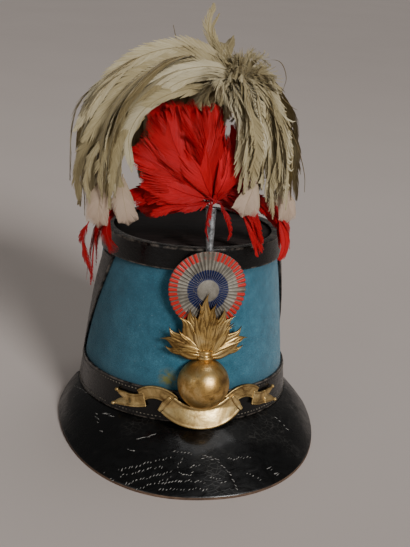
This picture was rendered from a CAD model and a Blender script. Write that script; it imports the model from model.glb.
import math

import bmesh
import bpy
import numpy as np
from mathutils import Matrix, Vector, noise
from mathutils.bvhtree import BVHTree


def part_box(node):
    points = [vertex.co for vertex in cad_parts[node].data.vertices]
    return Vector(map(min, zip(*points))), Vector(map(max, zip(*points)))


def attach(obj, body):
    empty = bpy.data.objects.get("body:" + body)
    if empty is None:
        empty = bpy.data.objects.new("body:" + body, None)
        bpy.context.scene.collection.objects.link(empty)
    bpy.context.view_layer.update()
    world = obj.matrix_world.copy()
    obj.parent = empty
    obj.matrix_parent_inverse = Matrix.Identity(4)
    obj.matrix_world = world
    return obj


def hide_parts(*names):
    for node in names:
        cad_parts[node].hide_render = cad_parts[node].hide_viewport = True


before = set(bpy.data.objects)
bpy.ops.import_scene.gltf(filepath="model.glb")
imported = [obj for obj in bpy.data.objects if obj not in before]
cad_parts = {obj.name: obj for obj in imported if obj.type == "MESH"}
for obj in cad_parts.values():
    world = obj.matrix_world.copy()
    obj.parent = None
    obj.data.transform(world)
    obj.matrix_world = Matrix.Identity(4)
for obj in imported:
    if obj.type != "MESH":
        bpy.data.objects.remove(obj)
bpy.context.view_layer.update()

scene = bpy.context.scene

# camera

cameraView = {
    "place": (-0.1094, -0.6349, 0.3783), "lookAt": (0.0002, -0.0508, 0.1409), "roll": 4.17, "lens": 58.2,
}


def makeCamera(view):
    data = bpy.data.cameras.new("camera")
    data.lens, data.sensor_width = view["lens"], 36
    data.clip_start, data.clip_end = 0.05, 20
    camera = bpy.data.objects.new("camera", data)
    scene.collection.objects.link(camera)
    place, lookAt = Vector(view["place"]), Vector(view["lookAt"])
    turn = (lookAt - place).to_track_quat("-Z", "Y").to_matrix().to_4x4()
    roll = Matrix.Rotation(math.radians(view["roll"]), 4, "Z")
    camera.matrix_world = Matrix.Translation(place) @ turn @ roll
    scene.camera = camera


makeCamera(cameraView)
print("camera ready")

# the hat is drawn level, in millimetres, and tipped back on to the floor at the end

crown = {
    "baseHalfWidth": 84, "baseHalfDepth": 102, "topHalfWidth": 66.5, "topHalfDepth": 73,
    "height": 138, "topSlope": 0.06, "frontLean": 2,
}
fit = {"gap": 0.3, "leather": 1.7, "restTilt": 9}
ringRadius = 100      # where rings are drawn before they are bent round the crown

topCentre = crown["topHalfDepth"] - crown["baseHalfDepth"] - crown["frontLean"]
restTilt = math.radians(fit["restTilt"])
rearRim = crown["baseHalfDepth"] + fit["gap"] + fit["leather"]
restShift = Vector((
    0,
    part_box("base_band")[1].y - 0.001 * rearRim * math.cos(restTilt),
    0.001 * rearRim * math.sin(restTilt),
))
toRest = Matrix.Translation(restShift) @ Matrix.Rotation(-restTilt, 4, "X") @ Matrix.Scale(0.001, 4)


def mix(a, b, part):
    return a + (b - a) * part


# angle 0 is the front, out is the distance outside the cloth, reach runs from the axis at 0 to the wall at 1
def crownPoint(angle, height, out=0.0, reach=1.0):
    level = height / crown["height"]
    halfWidth = mix(crown["baseHalfWidth"], crown["topHalfWidth"], level) + out
    halfDepth = mix(crown["baseHalfDepth"], crown["topHalfDepth"], level) + out
    y = topCentre * level - reach * halfDepth * math.cos(angle)
    return Vector((reach * halfWidth * math.sin(angle), y, height + level * crown["topSlope"] * y))


# a place on the front of the hat, from flat drawing coordinates: across, up, and out of the cloth
def frontPoint(across, up, out):
    level = up / (crown["height"] - crown["topSlope"] * crown["baseHalfDepth"])
    halfWidth = mix(crown["baseHalfWidth"], crown["topHalfWidth"], level)
    halfDepth = mix(crown["baseHalfDepth"], crown["topHalfDepth"], level)
    turn = across / halfWidth
    angle = turn - ((halfDepth / halfWidth) ** 2 - 1) * turn ** 3 / 6
    y = crownPoint(angle, level * crown["height"], out).y
    return crownPoint(angle, up / (1 + crown["topSlope"] * y / crown["height"]), out)


# shaping helpers

# moves every vertex to place(vertex), after chart(vertex) has given its flat map
def bend(shape, place, chart=None):
    if chart:
        layer = shape.loops.layers.uv.new("map")
        charts = {v: chart(v.co) for v in shape.verts}
        for face in shape.faces:
            flat = [charts[loop.vert] for loop in face.loops]
            wraps = max(u for u, _ in flat) - min(u for u, _ in flat) > 0.5
            for loop, (u, v) in zip(face.loops, flat):
                loop[layer].uv = (u + 1 if wraps and u < 0.5 else u, v)
    for v in shape.verts:
        v.co = place(v.co)
    return shape


def onlyVerts(geometry):
    return [v for v in geometry if isinstance(v, bmesh.types.BMVert)]


# a unit slab, closed, with z from 0 at its underside to 1 at its face
def slab(across, along):
    shape = bmesh.new()
    bmesh.ops.create_grid(shape, x_segments=across, y_segments=along, size=0.5)
    made = bmesh.ops.extrude_face_region(shape, geom=list(shape.faces))
    bmesh.ops.translate(shape, verts=onlyVerts(made["geom"]), vec=(0, 0, 1))
    bmesh.ops.recalc_face_normals(shape, faces=shape.faces)
    return shape


# spins a section of (radius, height) corners all the way round, about an upright axis at centreY
def lathed(section, steps, centreY=0, closed=False):
    shape = bmesh.new()
    corners = [shape.verts.new((radius, 0, height)) for radius, height in section]
    following = corners[1:] + corners[:1] if closed else corners[1:]
    edges = [shape.edges.new(pair) for pair in zip(corners, following)]
    bmesh.ops.spin(
        shape, geom=corners + edges, cent=(0, 0, 0), axis=(0, 0, 1),
        angle=2 * math.pi, steps=steps, use_merge=True)
    bmesh.ops.remove_doubles(shape, verts=shape.verts, dist=0.002)
    bmesh.ops.recalc_face_normals(shape, faces=shape.faces)
    bmesh.ops.translate(shape, verts=shape.verts, vec=(0, centreY, 0))
    return shape


# a ring round the hat from a closed section of (out, height) corners
def spunRing(section, steps):
    return lathed([(ringRadius + out, height) for out, height in section], steps, closed=True)


def rounded(shape, angle, offset, segments):
    sharp = [e for e in shape.edges if len(e.link_faces) == 2 and e.calc_face_angle() > math.radians(angle)]
    bmesh.ops.bevel(
        shape, geom=sharp, offset=offset, offset_type="OFFSET", segments=segments, profile=0.5,
        affect="EDGES", material=-1, clamp_overlap=True)
    return shape


def aroundCrown(shape, relief=None):
    def place(co):
        angle, out = math.atan2(co.x, -co.y), math.hypot(co.x, co.y) - ringRadius
        if relief:
            out += relief(angle, co.z, out)
        return crownPoint(angle, co.z, out)

    def chart(co):
        return math.atan2(co.x, -co.y) / (2 * math.pi) + 0.5, co.z / 100

    return bend(shape, place, chart)


def ladder(low, high, count):
    return [mix(low, high, i / count) for i in range(count + 1)]


# adds a finished shape to a piece that is made of several
def joinTo(whole, shape):
    part = bpy.data.meshes.new("part")
    shape.to_mesh(part)
    shape.free()
    whole.from_mesh(part)
    bpy.data.meshes.remove(part)


# puts a shape drawn in the level hat's millimetres in its place, as a piece
def finishPiece(shape, name, nodes, materials):
    bmesh.ops.transform(shape, matrix=toRest, verts=shape.verts)
    mesh = bpy.data.meshes.new(name)
    shape.to_mesh(mesh)
    shape.free()
    addPiece(mesh, name, nodes, materials)


def addPiece(mesh, name, nodes, materials):
    for material in materials:
        mesh.materials.append(material)
    mesh.shade_smooth()
    piece = bpy.data.objects.new(name, mesh)
    scene.collection.objects.link(piece)
    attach(piece, "root")
    if nodes:
        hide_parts(*nodes)
    print(f"{name}: {len(mesh.polygons)} faces")


# material helpers

def addNode(tree, kind, values=None, **settings):
    made = tree.nodes.new("ShaderNode" + kind)
    for key, value in settings.items():
        setattr(made, key, value)
    for key, value in (values or {}).items():
        if isinstance(value, bpy.types.NodeSocket):
            tree.links.new(value, made.inputs[key])
        else:
            made.inputs[key].default_value = value
    return made


def newMaterial(name, values=None):
    material = bpy.data.materials.new(name)
    material.use_nodes = True
    tree = material.node_tree
    tree.nodes.clear()
    shader = addNode(tree, "BsdfPrincipled", values)
    output = addNode(tree, "OutputMaterial")
    tree.links.new(shader.outputs[0], output.inputs["Surface"])
    return material, tree, shader


def objectPlace(tree, scale=(1, 1, 1), turn=(0, 0, 0)):
    place = addNode(tree, "TexCoord").outputs["Object"]
    return addNode(tree, "Mapping", {"Vector": place, "Scale": scale, "Rotation": turn}).outputs[0]


def mapPlace(tree, scale=(1, 1, 1)):
    chart = addNode(tree, "UVMap", uv_map="map").outputs[0]
    return addNode(tree, "Mapping", {"Vector": chart, "Scale": scale}).outputs[0]


def noiseAt(tree, place, scale, detail=4, roughness=0.6, distortion=0.0):
    values = {
        "Vector": place, "Scale": scale, "Detail": detail, "Roughness": roughness, "Distortion": distortion}
    return addNode(tree, "TexNoise", values).outputs["Fac"]


# the distance to the nearest edge between cells, for creases and crazing
def edgesAt(tree, place, scale):
    values = {"Vector": place, "Scale": scale}
    return addNode(tree, "TexVoronoi", values, feature="DISTANCE_TO_EDGE").outputs[0]


def rampOf(tree, value, stops):
    made = addNode(tree, "ValToRGB", {"Fac": value})
    points = made.color_ramp.elements
    while len(points) < len(stops):
        points.new(0.5)
    for point, (position, colour) in zip(points, stops):
        point.position = position
        point.color = (*colour, 1) if isinstance(colour, tuple) else (colour, colour, colour, 1)
    return made.outputs[0]


def blended(tree, factor, a, b, kind="MIX"):
    made = tree.nodes.new("ShaderNodeMix")
    made.data_type, made.blend_type = "RGBA", kind
    for index, value in ((0, factor), (6, a), (7, b)):
        if isinstance(value, bpy.types.NodeSocket):
            tree.links.new(value, made.inputs[index])
        else:
            made.inputs[index].default_value = (*value, 1) if isinstance(value, tuple) else value
    return made.outputs[2]


def maths(tree, operation, *values, clamp=False):
    made = addNode(tree, "Math", dict(enumerate(values)), operation=operation)
    made.use_clamp = clamp
    return made.outputs[0]


def ranged(tree, value, low, high, toLow=0.0, toHigh=1.0):
    return addNode(tree, "MapRange", {"Value": value, 1: low, 2: high, 3: toLow, 4: toHigh}).outputs[0]


def nearTo(tree, place, spot, radius):
    distance = addNode(tree, "VectorMath", {0: place, 1: spot}, operation="DISTANCE").outputs["Value"]
    return ranged(tree, distance, radius, radius * 0.3)


def bumped(tree, shader, height, strength, distance):
    bump = addNode(tree, "Bump", {"Height": height, "Strength": strength, "Distance": distance})
    tree.links.new(bump.outputs[0], shader.inputs["Normal"])


def colourOf(tree, shader, colour):
    tree.links.new(colour, shader.inputs["Base Color"])


# the cloth-covered crown

cloth = {
    "foot": 1.5, "wall": 3, "top": 133.2, "steps": 240, "rows": 60, "softness": 0.35,
    "seamHalfWidth": 1.6, "seamRise": 0.3, "seamRadius": 80, "stainAt": (-25, 33), "stainRadius": 0.0095,
    "deep": (0.02, 0.1, 0.15), "middle": (0.036, 0.165, 0.24), "pale": (0.085, 0.27, 0.36),
    "stain": (0.2, 0.19, 0.04),
}


def clothMaterial(look):
    material, tree, shader = newMaterial("feltedBlueCloth", {
        "Roughness": 0.95, "Specular IOR Level": 0.15, "Sheen Weight": 0.25, "Sheen Roughness": 0.5})
    place = objectPlace(tree)
    fibre = noiseAt(tree, place, 900, 3, 0.75)
    mottle = noiseAt(tree, place, 110, 5, 0.65)
    fading = noiseAt(tree, place, 16, 3)
    shade = maths(tree, "ADD", maths(tree, "MULTIPLY", fibre, 0.5), maths(tree, "MULTIPLY", mottle, 0.5))
    colour = rampOf(tree, shade, [(0.34, look["deep"]), (0.5, look["middle"]), (0.68, look["pale"])])
    colour = blended(tree, ranged(tree, fading, 0.4, 0.7, 0, 0.35), colour, look["deep"])
    specks = ranged(tree, noiseAt(tree, place, 420, 2), 0.68, 0.76)
    colour = blended(tree, maths(tree, "MULTIPLY", specks, 0.35), colour, (0.3, 0.42, 0.45))
    spot = tuple(toRest @ frontPoint(*look["stainAt"], 0))
    blot = nearTo(tree, place, spot, look["stainRadius"])
    stain = maths(tree, "MULTIPLY", blot, ranged(tree, noiseAt(tree, place, 260), 0.35, 0.6))
    colour = blended(tree, stain, colour, look["stain"])
    mapped = mapPlace(tree, (5.2, 1, 1))
    threads = {"Vector": mapped, "Scale": 270, "Distortion": 1.5, "Detail": 1}
    warp = addNode(tree, "TexWave", threads, bands_direction="X").outputs["Fac"]
    weft = addNode(tree, "TexWave", threads, bands_direction="Y").outputs["Fac"]
    weave = maths(tree, "MULTIPLY", warp, weft)
    colour = blended(tree, maths(tree, "MULTIPLY", weave, 0.3), colour, look["deep"])
    # grime where the cloth runs under the bands
    height = addNode(tree, "SeparateXYZ", {0: mapPlace(tree)}).outputs[1]
    grime = maths(tree, "ADD", ranged(tree, height, 0.34, 0.25), ranged(tree, height, 1.14, 1.2))
    grime = maths(tree, "MULTIPLY", grime, ranged(tree, mottle, 0.3, 0.7, 0.1, 0.7))
    colour = blended(tree, grime, colour, (0.012, 0.05, 0.07))
    colourOf(tree, shader, colour)
    relief = maths(tree, "ADD", fibre, maths(tree, "MULTIPLY", weave, 0.3))
    bumped(tree, shader, relief, 0.55, 0.0005)
    return material


def makeCloth(look):
    outer = [(0, height) for height in ladder(look["foot"], look["top"], look["rows"])]
    inner = [(-look["wall"], look["top"]), (-look["wall"], look["foot"])]

    def relief(angle, height, out):
        if out < -look["wall"] / 2:      # the inside stays plain
            return 0
        across = abs(abs(angle) - math.pi) * look["seamRadius"]
        seam = look["seamRise"] * max(0, 1 - abs(across - look["seamHalfWidth"]) / look["seamHalfWidth"])
        soft = noise.noise(Vector((math.sin(angle) * 3, math.cos(angle) * 3, height / 30)))
        return look["softness"] * soft * math.sin(math.pi * height / crown["height"]) + seam

    shape = aroundCrown(spunRing(outer + inner, look["steps"]), relief)
    finishPiece(shape, "crownCloth", ["crown_shell"], [clothMaterial(look)])


makeCloth(cloth)

# leather: top, bands and side chevrons

leather = {
    "black": (0.0025, 0.0022, 0.0022), "worn": (0.022, 0.018, 0.015), "bare": (0.17, 0.14, 0.115),
    "steps": 240, "topBandFoot": 120.5, "baseBandTop": 25.5, "lip": 5, "foldIn": 3.4, "rounding": 0.35,
    "waver": 0.16,
}
topLeather = {
    "thickness": 2.5, "segments": 160, "rings": 36, "sag": 1.2, "ripple": 0.5,
    "dark": (0.006, 0.004, 0.004), "pale": (0.035, 0.025, 0.023), "rubbed": (0.1, 0.085, 0.075),
}


# edges holds the map heights where the gloss is rubbed through, with the half width of each line
def bandMaterial(name, look, edges):
    material, tree, shader = newMaterial(
        name, {"Specular IOR Level": 0.3, "Coat Weight": 0.1, "Coat Roughness": 0.1})
    place = objectPlace(tree)
    grain = addNode(tree, "TexVoronoi", {"Vector": place, "Scale": 650}).outputs["Distance"]
    scuffs = noiseAt(tree, objectPlace(tree, (1, 1, 3)), 90, 6, 0.7, 1.2)
    patches = noiseAt(tree, place, 28, 4, 0.6)
    colour = rampOf(tree, scuffs, [(0.4, look["black"]), (0.62, look["black"]), (0.8, look["worn"])])
    colour = blended(tree, ranged(tree, patches, 0.55, 0.8, 0, 0.3), colour, look["worn"])
    height = addNode(tree, "SeparateXYZ", {0: mapPlace(tree)}).outputs[1]
    for level, halfWidth in edges:
        away = maths(tree, "ABSOLUTE", maths(tree, "SUBTRACT", height, level / 100))
        line = ranged(tree, away, halfWidth / 100, halfWidth / 300)
        line = maths(tree, "MULTIPLY", line, ranged(tree, noiseAt(tree, place, 140, 5, 0.7), 0.42, 0.62))
        colour = blended(tree, maths(tree, "MULTIPLY", line, 0.75), colour, look["bare"])
    colourOf(tree, shader, colour)
    rough = ranged(tree, scuffs, 0.3, 0.75, 0.14, 0.42)
    tree.links.new(rough, shader.inputs["Roughness"])
    relief = maths(tree, "ADD", maths(tree, "MULTIPLY", grain, 0.35), scuffs)
    bumped(tree, shader, relief, 0.35, 0.0006)
    return material


def topMaterial(look):
    material, tree, shader = newMaterial("dullTopLeather", {"Specular IOR Level": 0.22})
    place = objectPlace(tree)
    streaks = noiseAt(tree, objectPlace(tree, (1, 5, 5), (0, 0, 0.25)), 28, 7, 0.72, 1.5)
    creases = edgesAt(tree, objectPlace(tree, (1, 2.4, 1)), 70)
    colour = rampOf(tree, streaks, [(0.35, look["dark"]), (0.6, look["pale"]), (0.8, look["rubbed"])])
    colour = blended(tree, ranged(tree, creases, 0.02, 0.0, 0, 0.6), colour, look["dark"])
    colourOf(tree, shader, colour)
    tree.links.new(ranged(tree, streaks, 0.3, 0.8, 0.42, 0.75), shader.inputs["Roughness"])
    relief = maths(tree, "ADD", maths(tree, "MULTIPLY", streaks, 0.7), noiseAt(tree, place, 500, 3))
    bumped(tree, shader, relief, 0.4, 0.0008)
    return material


# how far a band's face wavers in and out, as hand-cut leather does
def handCut(angle, height, out):
    return leather["waver"] * noise.noise(Vector((math.sin(angle) * 5, math.cos(angle) * 5, height / 14)))


def makeTop(look):
    top = crown["height"] - fit["leather"] - fit["gap"]
    shape = bmesh.new()
    bmesh.ops.create_circle(shape, cap_ends=True, cap_tris=False, segments=look["segments"], radius=1)
    for _ in range(look["rings"] - 1):
        centre = max(shape.faces, key=lambda f: len(f.verts))
        bmesh.ops.inset_region(shape, faces=[centre], thickness=1 / look["rings"])
    centre = max(shape.faces, key=lambda f: len(f.verts))
    bmesh.ops.poke(shape, faces=[centre])
    bmesh.ops.recalc_face_normals(shape, faces=shape.faces)
    if next(iter(shape.faces)).normal.z < 0:
        bmesh.ops.reverse_faces(shape, faces=shape.faces)
    made = bmesh.ops.extrude_face_region(shape, geom=list(shape.faces), use_keep_orig=True)
    bmesh.ops.translate(shape, verts=onlyVerts(made["geom"]), vec=(0, 0, 1))
    bmesh.ops.recalc_face_normals(shape, faces=shape.faces)

    def place(co):
        reach = math.hypot(co.x, co.y)
        sag = -look["sag"] * (1 - reach ** 2)
        sag += look["ripple"] * noise.noise(Vector((co.x * 4, co.y * 4, 0))) * (1 - reach ** 4)
        height = mix(top - look["thickness"], top, co.z) + sag
        return crownPoint(math.atan2(co.x, -co.y), height, 0, reach)

    finishPiece(bend(shape, place), "topLeather", ["top_disc"], [topMaterial(look)])


def makeBands(look):
    inside, outside, high = fit["gap"], fit["gap"] + fit["leather"], crown["height"]
    foot = look["topBandFoot"]
    section = [(outside, h) for h in ladder(foot, high, 8)]
    lip, under = -look["lip"], high - fit["leather"]
    section += [(outside - look["foldIn"], high), (lip, high), (lip, under), (inside, under), (inside, foot)]
    shape = rounded(spunRing(section, look["steps"]), 40, look["rounding"], 3)
    material = bandMaterial("glossBandLeather", look, [(foot + 0.5, 0.7), (high - 0.4, 1.6)])
    finishPiece(aroundCrown(shape, handCut), "topBandLeather", ["top_band"], [material])
    high = look["baseBandTop"]
    section = [(outside, h) for h in ladder(0, high, 10)] + [(inside, high), (inside, 0)]
    shape = rounded(spunRing(section, look["steps"]), 40, look["rounding"], 3)
    material = bandMaterial("baseBandLeather", look, [(0.6, 0.8), (high - 0.5, 0.9)])
    finishPiece(aroundCrown(shape, handCut), "baseBandLeather", ["base_band"], [material])


makeTop(topLeather)
makeBands(leather)

# angles round the crown in degrees; places across a strap run from 0 to 1
chevrons = {
    "frontTop": 64, "frontFoot": 96, "rearTop": 148, "rearFoot": 116, "width": 16, "across": 12, "along": 48,
    "rounded": 0.25, "border": 0.12, "groove": 0.3, "grooveAt": 0.13, "grooveHalfWidth": 0.03,
    "overlap": 0.05, "wornLines": [(0.6, 1.0), (19.4, 1.0)],
}


def makeChevron(look, side, name, node):
    foot, top = leather["baseBandTop"] + fit["gap"], leather["topBandFoot"] - fit["gap"]
    whole = bmesh.new()
    for topAngle, footAngle, step, raised in (
            (look["frontTop"], look["frontFoot"], 1, look["overlap"]),
            (look["rearTop"], look["rearFoot"], -1, 0)):
        strap = slab(look["across"], look["along"])

        def place(co):
            rise = co.y + 0.5
            spread = co.x + 0.5 if side > 0 else 0.5 - co.x
            angle = side * math.radians(
                mix(footAngle, topAngle, rise) + step * (spread if step > 0 else 1 - spread) * look["width"])
            border = min(spread, 1 - spread)
            edge = look["rounded"] * min(1, border / look["border"]) - look["rounded"]
            groove = -look["groove"] * math.exp(-((border - look["grooveAt"]) / look["grooveHalfWidth"]) ** 2)
            out = 2 * fit["gap"] + fit["leather"] * co.z + (edge + groove + raised if co.z > 0.5 else 0)
            return crownPoint(angle, mix(foot, top, rise), out)

        bend(strap, place, lambda co: (co.y / 4 + 0.5, (co.x + 0.5) / 5))
        bmesh.ops.recalc_face_normals(strap, faces=strap.faces)
        joinTo(whole, strap)
    material = bandMaterial(name + "Leather", leather, look["wornLines"])
    finishPiece(whole, name, [node], [material])


makeChevron(chevrons, 1, "chevronLeft", "chevron_left")
makeChevron(chevrons, -1, "chevronRight", "chevron_right")

# stitches: one small spindle each, joined into one mesh

stitches = {
    "length": 2.1, "thickness": 0.42, "pitch": 3.3, "heights": (3.4, 22.6), "stand": 0.12, "wander": 0.07,
    "seed": 4,
}


def addSpindle(whole, spot, turn, size):
    place = Matrix.Translation(spot) @ turn @ Matrix.Diagonal((*size, 1))
    bmesh.ops.create_icosphere(whole, subdivisions=1, radius=1, matrix=place)


def threadMaterial():
    material, tree, shader = newMaterial("waxedThread", {"Roughness": 0.7, "Specular IOR Level": 0.3})
    place = objectPlace(tree)
    twist = noiseAt(tree, place, 1600, 2)
    wear = noiseAt(tree, place, 60, 3)
    colour = rampOf(tree, twist, [(0.35, (0.09, 0.075, 0.055)), (0.65, (0.3, 0.26, 0.2))])
    colour = blended(tree, ranged(tree, wear, 0.45, 0.6, 0, 0.85), colour, (0.02, 0.018, 0.015))
    colourOf(tree, shader, colour)
    bumped(tree, shader, twist, 0.5, 0.0002)
    return material


def makeStitches(look):
    rng = np.random.default_rng(look["seed"])
    whole = bmesh.new()
    perimeter = math.pi * (crown["baseHalfWidth"] + crown["baseHalfDepth"])
    count = round(perimeter / look["pitch"])
    out = fit["gap"] + fit["leather"] + look["stand"]
    for height in look["heights"]:
        for i in range(count):
            angle = 2 * math.pi * i / count
            here = crownPoint(angle, height, out)
            ahead = crownPoint(angle + 0.01, height, out)
            turn = (ahead - here).to_track_quat("X", "Z").to_matrix().to_4x4()
            turn = turn @ Matrix.Rotation(rng.normal(0, look["wander"]), 4, "Z")
            half = look["length"] / 2 * rng.uniform(0.85, 1.1)
            addSpindle(whole, here, turn, (half, look["thickness"], look["thickness"]))
    finishPiece(whole, "bandStitches", [], [threadMaterial()])


makeStitches(stitches)

# peak

peak = {
    "halfWidth": 103, "front": 148, "centre": -20, "squareness": 2.2, "endAngle": 99, "straightPart": 0.86,
    "thickness": 2.5, "tuck": -1, "tuckPart": 0.06, "turnOut": 0.6, "bulge": 3.5, "dents": 0.35,
    "edgeDrop": 1.25, "trim": 1.2, "across": 260, "rows": 56, "edgeSlope": 0.35, "sharpAngle": 50,
    "gloss": (0.0018, 0.0018, 0.0018), "dull": (0.008, 0.007, 0.006), "edge": (0.14, 0.085, 0.055),
}


def edgeHeight(y):
    return (y - rearRim) * math.tan(restTilt) + peak["thickness"] * peak["edgeDrop"] - peak["trim"]


# the outer edge, for along from -1 to 1 and 0 at the front, with its ends curving in to the band
def peakEdge(along):
    side = -1 if along < 0 else 1
    power = 2 / peak["squareness"]
    part = abs(along) / peak["straightPart"]
    if part <= 1:
        turn = part * math.pi / 2
        y = peak["centre"] - (peak["front"] + peak["centre"]) * max(math.cos(turn), 0) ** power
        return Vector((side * peak["halfWidth"] * math.sin(turn) ** power, y, edgeHeight(y)))
    turn = (abs(along) - peak["straightPart"]) / (1 - peak["straightPart"]) * math.pi / 2
    end = crownPoint(math.radians(peak["endAngle"]), 0, fit["gap"] + fit["leather"] + peak["thickness"])
    y = mix(peak["centre"], end.y, math.sin(turn))
    height = mix(-fit["gap"] - 1, edgeHeight(peak["centre"]), math.cos(turn))
    return Vector((side * mix(end.x, peak["halfWidth"], math.cos(turn)), y, height))


# a point of the peak: along from -1 to 1, outward from 0 under the band to 1 at the edge, down from its face
def peakPoint(along, outward, down):
    angle = math.radians(along * peak["endAngle"])
    tuckPart, turnOut = peak["tuckPart"], fit["gap"] + fit["leather"] + peak["turnOut"]
    if outward < tuckPart:
        tucked = crownPoint(angle, 0, mix(peak["tuck"], turnOut, outward / tuckPart))
        return tucked.xy.to_3d() + Vector((0, 0, -fit["gap"] - down))
    part = (outward - tuckPart) / (1 - tuckPart)
    turnDown = crownPoint(angle, 0, turnOut)
    turnDown.z = -fit["gap"]
    edge = peakEdge(along)
    point = turnDown.lerp(edge, part)
    slope = (turnDown - edge).length / peak["front"] * 3
    point.z += peak["bulge"] * min(slope, 1) * math.sin(math.pi * part)
    dents = noise.noise(Vector((point.x / 26, point.y / 26, 2)))
    dents += 0.4 * noise.noise(Vector((point.x / 9, point.y / 9, 7)))
    point.z += peak["dents"] * dents * math.sin(math.pi * part)
    point.z -= down * mix(1, peak["edgeDrop"], part)
    # the lower edge is flat on what the hat rests on
    return Vector((point.x, point.y, max(point.z, (point.y - rearRim) * math.tan(restTilt))))


def peakMaterial(look):
    material, tree, shader = newMaterial(
        "crazedPatentLeather", {"Specular IOR Level": 0.35, "Coat Weight": 0.3, "Coat Roughness": 0.12})
    place = objectPlace(tree)
    scuffs = noiseAt(tree, objectPlace(tree, (1, 2, 2), (0, 0, 0.6)), 55, 7, 0.7, 1.5)
    patches = noiseAt(tree, place, 16, 4, 0.6, 0.5)
    dust = noiseAt(tree, place, 480, 3, 0.7)
    colour = blended(tree, ranged(tree, patches, 0.45, 0.75, 0, 0.7), look["gloss"], look["dull"])
    colour = blended(tree, ranged(tree, scuffs, 0.62, 0.74, 0, 0.6), colour, (0.03, 0.026, 0.023))
    colour = blended(tree, ranged(tree, dust, 0.7, 0.78, 0, 0.4), colour, (0.09, 0.085, 0.08))
    crazing = edgesAt(tree, objectPlace(tree, (1, 1.6, 1)), 210)
    cracked = maths(tree, "MULTIPLY", ranged(tree, crazing, 0.05, 0.0), ranged(tree, patches, 0.5, 0.62))
    colour = blended(tree, maths(tree, "MULTIPLY", cracked, 0.4), colour, (0.1, 0.095, 0.085))
    colourOf(tree, shader, colour)
    rough = ranged(tree, scuffs, 0.35, 0.75, 0.16, 0.5)
    rough = maths(tree, "ADD", rough, ranged(tree, patches, 0.4, 0.75, 0.0, 0.2))
    tree.links.new(rough, shader.inputs["Roughness"])
    relief = maths(tree, "MULTIPLY", scuffs, 0.8)
    relief = maths(tree, "SUBTRACT", relief, maths(tree, "MULTIPLY", cracked, 0.3))
    bumped(tree, shader, relief, 0.35, 0.0008)
    return material


def edgeMaterial(look):
    material, tree, shader = newMaterial("rawLeatherEdge", {"Roughness": 0.85, "Specular IOR Level": 0.2})
    place = objectPlace(tree)
    layers = noiseAt(tree, objectPlace(tree, (0.3, 0.3, 3)), 400, 5, 0.7)
    dirt = noiseAt(tree, place, 45, 4)
    colour = rampOf(tree, layers, [(0.3, (0.05, 0.03, 0.02)), (0.55, look["edge"]), (0.8, (0.3, 0.22, 0.16))])
    colour = blended(tree, ranged(tree, dirt, 0.45, 0.75, 0, 0.6), colour, (0.05, 0.035, 0.028))
    colourOf(tree, shader, colour)
    bumped(tree, shader, layers, 0.5, 0.0005)
    return material


def makePeak(look):
    shape = slab(look["across"], look["rows"])
    bend(shape, lambda co: peakPoint(2 * co.x, co.y + 0.5, (1 - co.z) * look["thickness"]),
         lambda co: ((co.x + 0.5) * 0.99, co.y + 0.5))
    bmesh.ops.recalc_face_normals(shape, faces=shape.faces)
    shape.faces.ensure_lookup_table()
    surface = BVHTree.FromBMesh(shape)
    for face in shape.faces:
        if face.normal.z < look["edgeSlope"]:      # the rim and the underside are raw leather
            face.material_index = 1
    for edge in shape.edges:
        if len(edge.link_faces) == 2 and edge.calc_face_angle() > math.radians(look["sharpAngle"]):
            edge.smooth = False
    finishPiece(shape, "peakLeather", ["peak"], [peakMaterial(look), edgeMaterial(look)])
    return surface


peakSurface = makePeak(peak)

# where the peak's patent coat has cracked or is scratched: lines of short dashes on the leather, in the level
# drawing's x and y, each with its number of dashes, their length, and their slant to the line in degrees
cracks = {
    "lines": [
        ([(-63, -120), (-44, -124), (-23.5, -125.5)], 15, 3, 58),
        ([(-62, -123.5), (-46, -127), (-29, -129)], 12, 3, 55),
        ([(-58, -130), (-41, -132), (-24, -133)], 14, 3.4, 50),
        ([(-51, -135.5), (-38, -136), (-24.5, -136)], 10, 3, 50),
        ([(-16, -127), (-19.7, -131), (-18, -135), (-13, -136.3), (-8.7, -135)], 11, 2.6, 20),
        ([(-11.6, -132.7), (-3.8, -131.3)], 4, 3, 30),
        ([(-3, -127), (7, -128.5), (15, -134.5), (19, -139), (21.4, -144)], 17, 3.4, 14),
        ([(16, -128), (25, -127), (35, -124.5)], 9, 2.6, 35), ([(47, -127), (56, -129)], 6, 4.5, 60),
        ([(-35, -137), (-17, -138.5), (-1, -141)], 15, 3, 45),
        ([(-35, -140), (-18, -143), (1, -144)], 14, 3, 60), ([(2, -138), (14, -141)], 6, 2.4, 50),
        ([(-47, -107), (-41, -107.5), (-34.5, -107)], 4, 6.5, 3), ([(-55, -110), (-49, -114)], 3, 3, 10),
        ([(-70, -72), (-62.5, -80)], 5, 5, 25), ([(-76, -67), (-74, -79)], 4, 6, 15),
        ([(-91, -10), (-83, -32), (-73, -52)], 8, 5, 10), ([(-73, -85), (-71, -89)], 3, 3, 30),
        ([(-78, -110), (-70, -119), (-63, -127)], 9, 3, 55),
        ([(-23, -122), (-15, -124), (-8, -126)], 6, 3, 50), ([(62, -84), (72, -92)], 4, 4, 20),
        ([(28, -134), (42, -136)], 5, 2.4, 60),
    ],
    "width": 0.36, "rise": 0.12, "scatter": 0.36, "seed": 11,
}


def crackMaterial():
    material, tree, shader = newMaterial("crackedCoat", {"Roughness": 0.65, "Specular IOR Level": 0.4})
    place = objectPlace(tree)
    chips = noiseAt(tree, place, 700, 3)
    stops = [(0.35, (0.05, 0.048, 0.045)), (0.6, (0.42, 0.4, 0.37)), (0.75, (0.6, 0.58, 0.54))]
    colour = rampOf(tree, chips, stops)
    colourOf(tree, shader, colour)
    bumped(tree, shader, chips, 0.4, 0.0002)
    return material


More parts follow.
